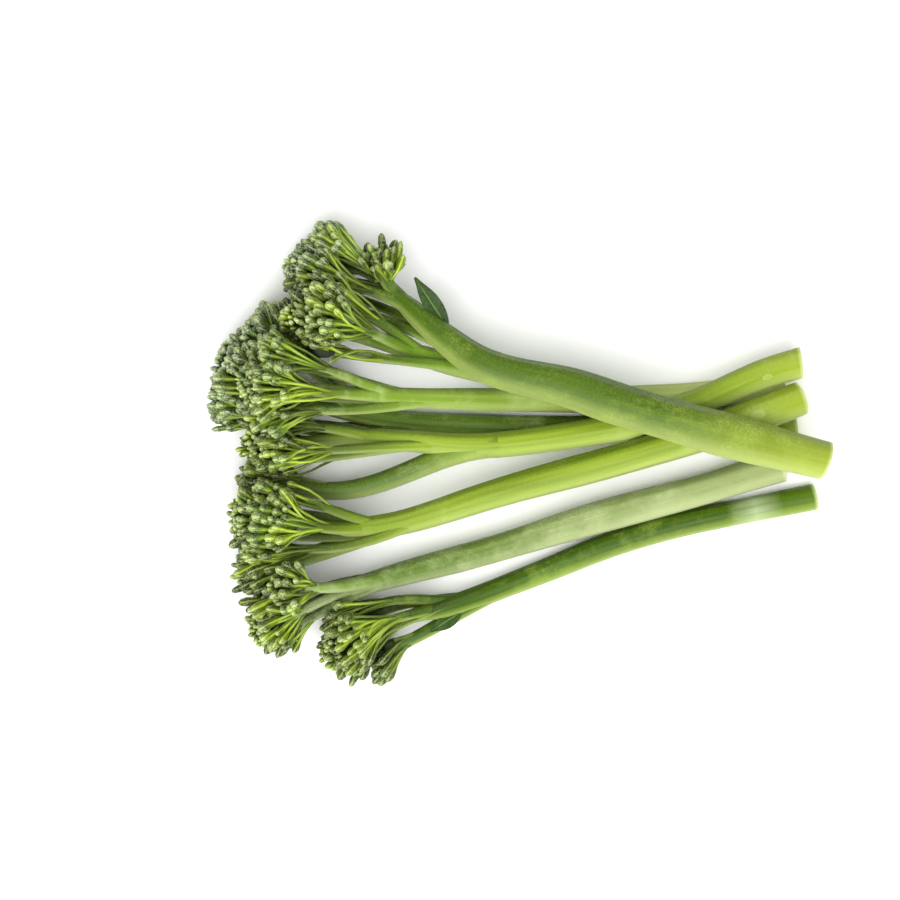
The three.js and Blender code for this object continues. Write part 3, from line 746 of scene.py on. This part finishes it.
# Buds on the skin of one dome, as columns: base = middle + stretched direction * radius + lift *
# normal, where the lift falls from the middle of a cluster to its edge, and the heading lies
# between the normal and the head's axis. Width and length go from the crown's to the rim's.
def budsOn(directions, rim, dome, along, clusters, draw):
    look = florets
    centre, radius = dome
    mine = (directions @ clusters.T).argmax(axis=1)     # the nearest cluster
    near = np.sum(directions * clusters[mine], axis=1)
    spread = np.arccos(np.clip(near, -1, 1)) * radius / (look["clusterStep"] / 2)
    lift = look["bulge"] * (1 - spread ** 2) * (1 - 0.6 * rim) + draw.normal(0, look["uneven"], len(rim))
    skin = centre + stretched(directions, along, look["domeLong"]) * radius
    normal = unit(stretched(directions, along, 1 / look["domeLong"]))
    heading = unit(normal * (0.95 - 0.4 * rim)[:, None] + along * (0.3 + 0.5 * rim)[:, None]
                   + draw.normal(0, look["noise"]["heading"], directions.shape))
    (thin, short), (wide, long) = look["crownBud"], look["rimBud"]
    width = draw.normal(1, look["noise"]["width"], len(rim)).clip(0.65, 1.5)
    length = draw.normal(1, look["noise"]["length"], len(rim)).clip(0.6, 1.4)
    return {"base": skin + normal * lift[:, None], "heading": heading, "rim": rim, "mine": mine,
            "width": (thin + (wide - thin) * rim) * width,
            "length": (short + (long - short) * rim) * length}


# Buds of one kind with their stalks: a bend from the root to the base, then base + heading *
# length * place + curl * place^2, with the radii of the stalk and of the bud's shape
def budTubes(kind, buds, along, draw):
    look = florets
    base, heading, length, rim = (buds[key] for key in ("base", "heading", "length", "rim"))
    root, leave = buds["root"], buds["leave"] * look["leave"][kind]
    shares, places = np.array(look["stalkShares"][kind]), np.array(look["budPlace"])
    far = np.linalg.norm(base - root, axis=1, keepdims=True)
    stalk = arcs(shares, root, root + leave * far, base - heading * far * 0.35, base)
    curl = unit(along + draw.normal(0, 0.3, base.shape)) * (look["curl"] * length)[:, None]
    bud = (base[:, None] + heading[:, None] * (length[:, None] * places)[..., None]
           + curl[:, None] * (places ** 2)[None, :, None])
    thick, thin = look["stalkRadius"][kind]
    stalkRadii = np.tile(np.interp(shares, [0, 0.6, 1], [thick, thin, thin * 1.15]), (len(base), 1))
    shape = np.outer(1 - rim, look["crownShape"]) + np.outer(rim, look["rimShape"])
    radii = np.concatenate([stalkRadii, buds["width"][:, None] / 2 * shape], axis=1)
    v = np.concatenate([look["budFrom"] * shares, look["budFrom"] + (1 - look["budFrom"]) * places])
    shell = tubes(np.concatenate([stalk, bud], axis=1), radii, look["sides"], v)
    for key in ("tint", "deep", "rim"):
        shell[key] = np.repeat(buds[key], radii.shape[1] * look["sides"])
    return shell


# Twigs: smooth bends from a branch to the root of each cluster, thick at the branch
def twigTubes(twigs, along, draw):
    look = florets
    start, end = twigs[:, 0], twigs[:, 1]
    far = np.linalg.norm(end - start, axis=1, keepdims=True)
    shares = np.linspace(0, 1, look["twigRings"])
    path = arcs(shares, start, start + along * 0.6 * far, end)
    shell = tubes(path, np.linspace(*look["twigRadius"], len(shares)), look["twigSides"],
                  0.4 * look["budFrom"] * shares)
    shell["tint"] = np.repeat(draw.uniform(0, 0.35, len(twigs)), len(shares) * look["twigSides"])
    # twigs take the rim's tones and part of the clefts' painted shade
    shell["rim"], shell["deep"] = 1.0, 0.6
    return shell


# Buds of a head. On each dome's skin the small buds of the crown stand on a fine spiral, and each
# belongs to the nearest spot of a coarse spiral, its cluster, whose root is inside the skin. The
# large buds at the rim stand on a wider spiral, and each has a stalk of its own, which leaves the
# dome's branch further back and bends forwards into the bud.
def budShells(head, branchPaths, lines, seed):
    look = florets
    draw = np.random.default_rng(seed)
    along = headFrame(head["faces"])[0]
    centres, radius, outs = head["domes"]
    longer, rimFrom = look["domeLong"], head.get("rimFrom", look["rimFrom"])
    front = (centres @ along).max() + radius * longer
    tables, twigs = {"crown": [], "rim": []}, []
    for number, (centre, out, branch) in enumerate(zip(centres, outs, branchPaths)):
        # skin of the stretched dome, in spots that each take the triangles' 0.87 * step^2
        area = 4 * np.pi * (radius + 1) ** 2 * longer ** 0.7 / 0.87
        clusters = spiral(int(area / look["clusterStep"] ** 2), draw)
        clusters = clusters[clusters @ out > look["clusterTo"]]
        for kind, step in (("crown", look["crownStep"]), ("rim", look["rimStep"])):
            directions = spiral(int(area / step ** 2), draw)
            skin = centre + stretched(directions, along, longer) * radius
            share = rimShare(directions, skin, along, front)
            share += draw.normal(0, look["noise"]["share"], len(directions))
            back = look["backTo"] + draw.normal(0, look["noise"]["back"], len(directions))
            chosen = (share < rimFrom) == (kind == "crown")
            chosen &= (directions @ out > look["sideTo"]) & (directions @ along > back)
            rim = np.interp(share[chosen] - rimFrom, look["rimOver"], (0, 1))
            buds = budsOn(directions[chosen], rim, (centre, radius), along, clusters, draw)
            base, width = buds["base"], buds["width"]
            tip = base + buds["heading"] * buds["length"][:, None]
            room = roomAt(base, tip, np.delete(centres, number, axis=0), radius, along, head["planes"])
            # painted shade: buds with little room near another dome or a plane between heads are darker
            buds["deep"] = (1 - room / look["cleftShadeTo"]).clip(0, 1)
            tint = draw.normal(*look["tint"], len(clusters))[buds["mine"]]
            buds["tint"] = (tint + draw.normal(0, look["noise"]["tint"], len(base))).clip(0, 1)
            keep = (room > 0) & (base[:, 2] > width / 2 + 0.1) & (tip[:, 2] > 0.5)
            keep &= np.minimum(clearOf(base, lines), clearOf(tip, lines)) > width / 2
            buds = {key: values[keep] for key, values in buds.items()}
            if kind == "crown":
                root = (centre + stretched(clusters, along, longer) * radius
                        - unit(clusters * 0.95 + along * 0.3) * look["rootBack"])
                buds["root"] = root[buds["mine"]]
                buds["leave"] = unit(buds["base"] - buds["root"])
                root = root[np.unique(buds["mine"])]
                behind = (centre - root) @ along + draw.uniform(*look["twigBack"], len(root))
                share = 1 - (behind / lengthOf(branch)).clip(*look["fromEnd"][kind])
                twigs.append(np.stack([evenly(branch, share), root], 1))
            else:
                offset = buds["base"] - centre
                apart = np.linalg.norm(stretched(offset, along, 0), axis=1)     # from the dome's axis
                behind = apart * draw.uniform(*look["stalkBack"], len(apart)) - offset @ along
                behind += look["stalkLeast"]
                share = 1 - (behind / lengthOf(branch)).clip(*look["fromEnd"][kind])
                buds["root"] = evenly(branch, share)
                buds["leave"] = unit(evenly(branch, share + 0.02) - buds["root"])
            tables[kind].append(buds)
    shells, count = [], 0
    for kind, rows in tables.items():
        buds = {key: np.concatenate([row[key] for row in rows]) for key in rows[0]}
        if len(buds["base"]):
            shells.append(budTubes(kind, buds, along, draw))
            count += len(buds["base"])
    shells.append(twigTubes(np.concatenate(twigs), along, draw))
    # in each dome a near-black egg, painted shade behind the buds
    for spot in centres + along * radius * look["coreAhead"]:
        core = egg(spot, radius * look["coreSize"], along, longer, *look["coreGrid"], look["coreDents"])
        shells.append({**core, "material": 1})
    return shells, count


stemForm = {
    "sides": 40,
    "rings": 150,
    # ridges and slow changes of girth: how many around, the turns along between which one is
    # drawn, and the height over the radius
    "uneven": ((5, -2, 2, 0.0132), (8, -2, 2, 0.0132), (11, -2, 2, 0.0132), (1, 8, 18, 0.0175),
               (2, 8, 18, 0.0175), (3, 8, 18, 0.0175), (0, 14, 22, 0.0175)),
    "capRings": (0.1, 0.3, 0.5, 0.68, 0.82, 0.92, 0.975),
    "capDish": 0.25,        # how deep the middle of the cut is
    "rimRound": 0.35,       # how far the cut's edge is rounded back
    "slantFade": 14.0,      # length over which the cut's slant dies out
    "neckBlend": 8.0,       # over this length before its end a stem sinks into its first branch
    "neckSink": 0.16,
    "neckRings": (0.9, 0.75, 0.55, 0.3),
    "neckLong": 6.0,
}


# Skin of a stem: radius = taper * (1 + heights * cos(k a + m s)), with the cut face as rings of
# falling radius in a slanted plane, and a rounded neck. Gives the shell, its line and its taper.
def stemShell(stalk, seed):
    look = stemForm
    draw = np.random.default_rng(seed)
    shares = np.linspace(0, 1, look["rings"])
    line = stemLine(stalk["path"], shares)
    length = lengthOf(line)
    tangents = unit(np.gradient(line, axis=0))
    taper = np.interp(shares, np.linspace(0, 1, len(stalk["radii"])), stalk["radii"])
    angle = 2 * np.pi * np.arange(look["sides"]) / look["sides"]
    uneven = np.zeros((len(shares), look["sides"]))
    for waves, least, most, high in look["uneven"]:
        pace, phase = draw.uniform(least, most), draw.uniform(0, 6.3)
        uneven += high * np.cos(waves * angle + pace * shares[:, None] + phase)
    toNeck = (1 + (shares - 1) * length / look["neckBlend"]).clip(0, 1)
    radii = taper[:, None] * (1 + uneven) * (1 - look["neckSink"] * toNeck[:, None] ** 2)
    # the cut face's rings before the first ring, and the neck's after the last
    ends = (len(look["capRings"]), len(look["neckRings"]))
    inner = np.concatenate([look["capRings"], np.ones(len(shares) + ends[1])])
    outer = np.concatenate([np.ones(ends[0] + len(shares)), look["neckRings"]])
    neck = line[-1] + np.outer(np.linspace(0.25, 1, ends[1]) * look["neckLong"], tangents[-1])
    path = np.concatenate([np.repeat(line[:1], ends[0], axis=0), line, neck])
    radii = np.pad(radii, (ends, (0, 0)), mode="edge") * (inner * outer)[:, None]
    tangents = np.pad(tangents, (ends, (0, 0)), mode="edge")
    ahead = np.pad(shares * length, ends, mode="edge")
    tilt, way = stalk["slant"]
    fade = (1 - ahead / look["slantFade"]).clip(0, 1) ** 2
    lean = tilt * radii * np.cos(angle - way) * fade[:, None]
    lean[ends[0]] += look["rimRound"]
    lean += look["capDish"] * (1 - inner ** 2)[:, None]
    moved = lean[..., None] * tangents[:, None]
    shell = tubes(path[None], radii[None], look["sides"], ahead / 100, np.array([0, 0, -1.0]),
                  tangents[None], moved[None])
    shell["cut"] = np.repeat(1 - inner, look["sides"])
    return shell, line, taper


branchForm = {
    "neckBack": 7.0,        # how far before the stem's end the first branch leaves it
    "neckShare": 0.94,      # its first radius over the stem's last
    "back": 2.0,            # the same for the others, which follow each other by a step
    "step": 7.0,
    "bend": (0.3, 0.45),    # how far a branch keeps its first and its last direction
    "radii": (2.6, 2.1, 1.7, 1.5),
    "sides": 14,
    "rings": 14,
    "insideFrom": (0.35, 0.8),      # share of a branch over which it darkens into the head, as painted shade
}


# Branches into the domes: bends that leave the stem one behind the other, with flared roots. The
# first one starts as thick as the neck and carries it on.
def branchShells(stalk, length):
    look = branchForm
    centres = stalk["head"]["domes"][0]
    back = look["back"] + look["step"] * np.arange(len(centres))
    back[0] = look["neckBack"]
    start = stemLine(stalk["path"], 1 - back / length)
    onward = unit(start - stemLine(stalk["path"], 1 - (back + 1) / length))
    far = np.linalg.norm(centres - start, axis=1, keepdims=True)
    out, into = look["bend"]
    along = headFrame(stalk["head"]["faces"])[0]
    shares = np.linspace(0, 1, look["rings"])
    paths = arcs(shares, start, start + onward * out * far, centres - along * into * far, centres)
    taper = look["radii"]
    radii = np.tile(np.interp(shares, np.linspace(0, 1, len(taper)), taper), (len(centres), 1))
    radii[0] += (look["neckShare"] * stalk["radii"][-1] - taper[0]) * (1 - shares) ** 1.5
    v = (length - back)[:, None] / 100 + shares * far / 100
    shell = tubes(paths, radii, look["sides"], v, np.array([0, 0, -1.0]))
    # painted shade: each branch darkens as it runs into its head
    inside = np.interp(shares, look["insideFrom"], [0, 1])
    shell["inside"] = np.tile(np.repeat(inside, look["sides"]), len(centres))
    return shell, paths


shootForm = {
    "radii": (3.8, 2.8, 2.6, 2.3, 1.9),
    "sides": 14,
    "rings": 24,
    "bend": (0.35, 0.3),    # how far the stem keeps its first and its last direction
    "tone": (0.12, 0.4),    # share of a shoot over which it takes its own tone
    "v": (1.6, 2.0),        # as far along as a neck, for the bloom and the tones
    "forkFrom": (0.6, 0.8),     # shares where its small branches start and bend
    "forkRadii": (1.6, 1.1),
    "forkSides": 8,
    "forkRings": 12,
}


# Stem of a side shoot, a bend from inside the main stem into the shoot's middle dome, and small
# branches from near its tip into its domes. Gives the shells, the branches' paths, and the stem's
# path with its radii.
def shootShell(stalk):
    look = shootForm
    shoot = stalk["shoot"]
    centres = shoot["domes"][0]
    start, ahead = stemLine(stalk["path"], [shoot["from"], min(shoot["from"] + 0.01, 1)])
    end = centres[0]
    far = np.linalg.norm(end - start)
    out, into = look["bend"]
    bendOut = start + unit(ahead - start) * out * far
    bendIn = end - headFrame(shoot["faces"])[0] * into * far + np.array(shoot.get("sway", (0, 0, 0)))
    bends = [spot[None] for spot in (start, bendOut, bendIn, end)]
    shares = np.linspace(0, 1, look["rings"])
    path = arcs(shares, *bends)
    taper = shoot.get("stem", look["radii"])
    radii = np.interp(shares, np.linspace(0, 1, len(taper)), taper)
    shell = tubes(path, radii, look["sides"], np.interp(shares, (0, 1), look["v"]),
                  np.array([0, 0, -1.0]))
    shell["shoot"] = np.repeat(np.interp(shares, look["tone"], [0, 1]), look["sides"])
    forks = np.broadcast_to(arcs(look["forkFrom"], *bends), (len(centres), 2, 3))
    shares = np.linspace(0, 1, look["forkRings"])
    paths = arcs(shares, forks[:, 0], forks[:, 1], centres)
    small = tubes(paths, np.linspace(*look["forkRadii"], len(shares)), look["forkSides"],
                  1.9 + 0.2 * shares)
    small["shoot"] = 1.0
    # painted shade: the small branches darken as they run into the domes
    small["inside"] = np.tile(np.repeat(shares, look["forkSides"]), len(centres))
    return [shell, small], paths, (path[0], radii)


blade = {"thick": 0.7, "rows": 44, "columns": 17, "least": 0.45, "root": 0.2, "fold": 0.18,
         "rise": 2.5, "wave": 0.55, "waves": 2.2, "ripple": 0.12, "ripples": 11,
         "groove": 0.35, "grooveWide": 0.12}


# Blade: point = root + v length along + u half(v) across + lift(u, v) rise, where the half width
# swells and narrows to a point and the lift waves more towards the edges, with a groove on the rib
def bladeShell(stalk, leaf):
    look = blade
    root = stemLine(stalk["path"], [leaf["from"]])[0] + np.array(leaf["offset"])
    along, across, rise = headFrame(leaf["points"])
    rows, columns = look["rows"], look["columns"]
    v = np.linspace(0, 1, rows)[:, None]
    u = np.linspace(-1, 1, columns)[None]
    swell = look["root"] + (1 - look["root"]) * np.sin(np.pi * v ** 0.8)
    half = look["least"] + leaf["width"] / 2 * swell * (1 - v ** 6)
    edge = np.abs(u)
    wave = look["wave"] * v * np.sin(2 * np.pi * look["waves"] * v)
    lift = edge * (wave + look["fold"] * half) + look["rise"] * v ** 2
    lift = lift + look["ripple"] * edge ** 2 * np.sin(2 * np.pi * look["ripples"] * v + u)
    lift = lift - look["groove"] * np.exp(-(u / look["grooveWide"]) ** 2) * (1 - v)
    flat = root + v[..., None] * leaf["length"] * along + (u * half)[..., None] * across
    thick = look["thick"] / 2 * (1 - 0.6 * edge ** 4) * (1 - 0.5 * v)
    points = np.concatenate([flat + (lift + thick)[..., None] * rise,
                             flat + (lift - thick)[..., None] * rise])
    # faces of the upper side, the lower side and the edge between them
    index = np.arange(rows * columns).reshape(rows, columns)
    face = np.stack([index[:-1, :-1], index[1:, :-1], index[1:, 1:], index[:-1, 1:]], -1).reshape(-1, 4)
    below = face[:, ::-1] + rows * columns
    rim = np.concatenate([index[0], index[1:, -1], index[-1, -2::-1], index[-2:0:-1, 0]])
    following = np.roll(rim, -1)
    edgeFaces = np.stack([rim, following, following + rows * columns, rim + rows * columns], -1)
    faces = np.concatenate([face, below, edgeFaces])
    uv = np.stack(np.broadcast_arrays((u + 1) / 2, v), -1).reshape(-1, 2)
    return {"points": points.reshape(-1, 3), "corners": faces.ravel(),
            "sizes": np.full(len(faces), 4), "uv": np.tile(uv, (2, 1))[faces.ravel()]}


shootHead = {"ring": 3, "turn": 0.3, "spread": (1, 1, 1), "rimFrom": 0.22}
heads = []
for stalk in stalks.values():
    heads.append(stalk["head"])
    if "shoot" in stalk:
        stalk["shoot"].update(shootHead)
        heads.append(stalk["shoot"])
for head in heads:
    head["planes"] = planesOf(head, heads)
    head["domes"] = domesOf(head, head["planes"])

lines = []      # of stems and shoots with their radii, which buds keep clear of
for number, (name, stalk) in enumerate(stalks.items()):
    shell, line, taper = stemShell(stalk, 11 + number)
    branches, stalk["head"]["ends"] = branchShells(stalk, lengthOf(line))
    shells = [shell, branches]
    lines.append((line, taper))
    if "shoot" in stalk:
        shoot, stalk["shoot"]["ends"], (path, radii) = shootShell(stalk)
        shells += shoot
        lines.append((path[:-6], radii[:-6]))
    skin = stemSkin("stemSkin_" + name, {**plainStem, **stemLooks[name]}, number + 1.0)
    piece = pieceFrom("stem_" + name, shells, [skin], ["cut", "shoot", "inside"])
    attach(piece, "root")
    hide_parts("stalk_" + name)
print("stems made")

buds = 0
for number, (name, stalk) in enumerate(stalks.items()):
    for kind, key, seed in (("florets", "head", 51), ("sprig", "shoot", 71)):
        if key not in stalk:
            continue
        shells, count = budShells(stalk[key], stalk[key]["ends"], lines, seed + number)
        buds += count
        slotName = stalk.get("floretSlot", "floret") if key == "head" else "floret"
        piece = pieceFrom(kind + "_" + name, shells, [floretMaterials[slotName], shadeCore],
                          ["tint", "rim", "deep"])
        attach(piece, "root")
        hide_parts(key + "_" + name)
print("florets made with", buds, "buds")

for name, stalk in stalks.items():
    if "leaf" in stalk:
        piece = pieceFrom("blade_" + name, [bladeShell(stalk, stalk["leaf"])], [leafMaterial])
        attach(piece, "root")
        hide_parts("leaf_" + name)
print("leaves made")

# Lights are given by name, place in metres, size and power. The camera stands above the aim and
# sees a square of frameWide there.
studio = {
    "floorSize": 3.0, "floorTone": (249, 249, 248), "floorLight": (253, 253, 252), "world": 0.34,
    "lights": (("key", (-0.12, -0.34, 1.02), 0.85, 15.0), ("low", (0.08, -0.9, 0.5), 0.9, 4.5),
               ("fill", (0.3, 0.6, 0.9), 0.8, 4.5)),
    "aim": (-0.0243, 0.00105, 0.02), "frameWide": 0.315, "lens": 120.0, "sensor": 36.0,
}


def makeFloor():
    half = studio["floorSize"] / 2
    mesh = bpy.data.meshes.new("floor")
    mesh.from_pydata([(-half, -half, 0), (half, -half, 0), (half, half, 0), (-half, half, 0)], [],
                     [(0, 1, 2, 3)])
    material, tree, shader = newMaterial("paperFloor")
    grain = noise(tree, place(tree, "TexCoord").outputs["Object"], 4.0, 2.0, 0.5)
    colour = layered(tree, studio["floorTone"], (between(tree, grain, 0.3, 0.7), studio["floorLight"]))
    connect(tree, shader, {"Base Color": colour, "Roughness": 0.9})
    mesh.materials.append(material)
    floor = bpy.data.objects.new("floor", mesh)
    bpy.context.scene.collection.objects.link(floor)


def makeLights():
    aim = Vector(studio["aim"])
    for name, spot, size, power in studio["lights"]:
        light = bpy.data.lights.new(name, "AREA")
        light.shape = "SQUARE"
        light.size = size
        light.energy = power
        lamp = bpy.data.objects.new(name, light)
        lamp.location = spot
        lamp.rotation_euler = (aim - Vector(spot)).to_track_quat("-Z", "Y").to_euler()
        bpy.context.scene.collection.objects.link(lamp)
    world = bpy.data.worlds.new("studio")
    world.use_nodes = True
    connect(world.node_tree, world.node_tree.nodes["Background"],
            {"Color": (1, 1, 1, 1), "Strength": studio["world"]})
    bpy.context.scene.world = world


def makeCamera():
    lens = bpy.data.cameras.new("camera")
    lens.lens = studio["lens"]
    lens.sensor_width = studio["sensor"]
    camera = bpy.data.objects.new("camera", lens)
    x, y, z = studio["aim"]
    camera.location = (x, y, z + studio["frameWide"] * studio["lens"] / studio["sensor"])
    bpy.context.scene.collection.objects.link(camera)
    bpy.context.scene.camera = camera


makeFloor()
makeLights()
makeCamera()
bpy.context.scene.view_settings.view_transform = "Standard"
print("stage, lights and camera made")
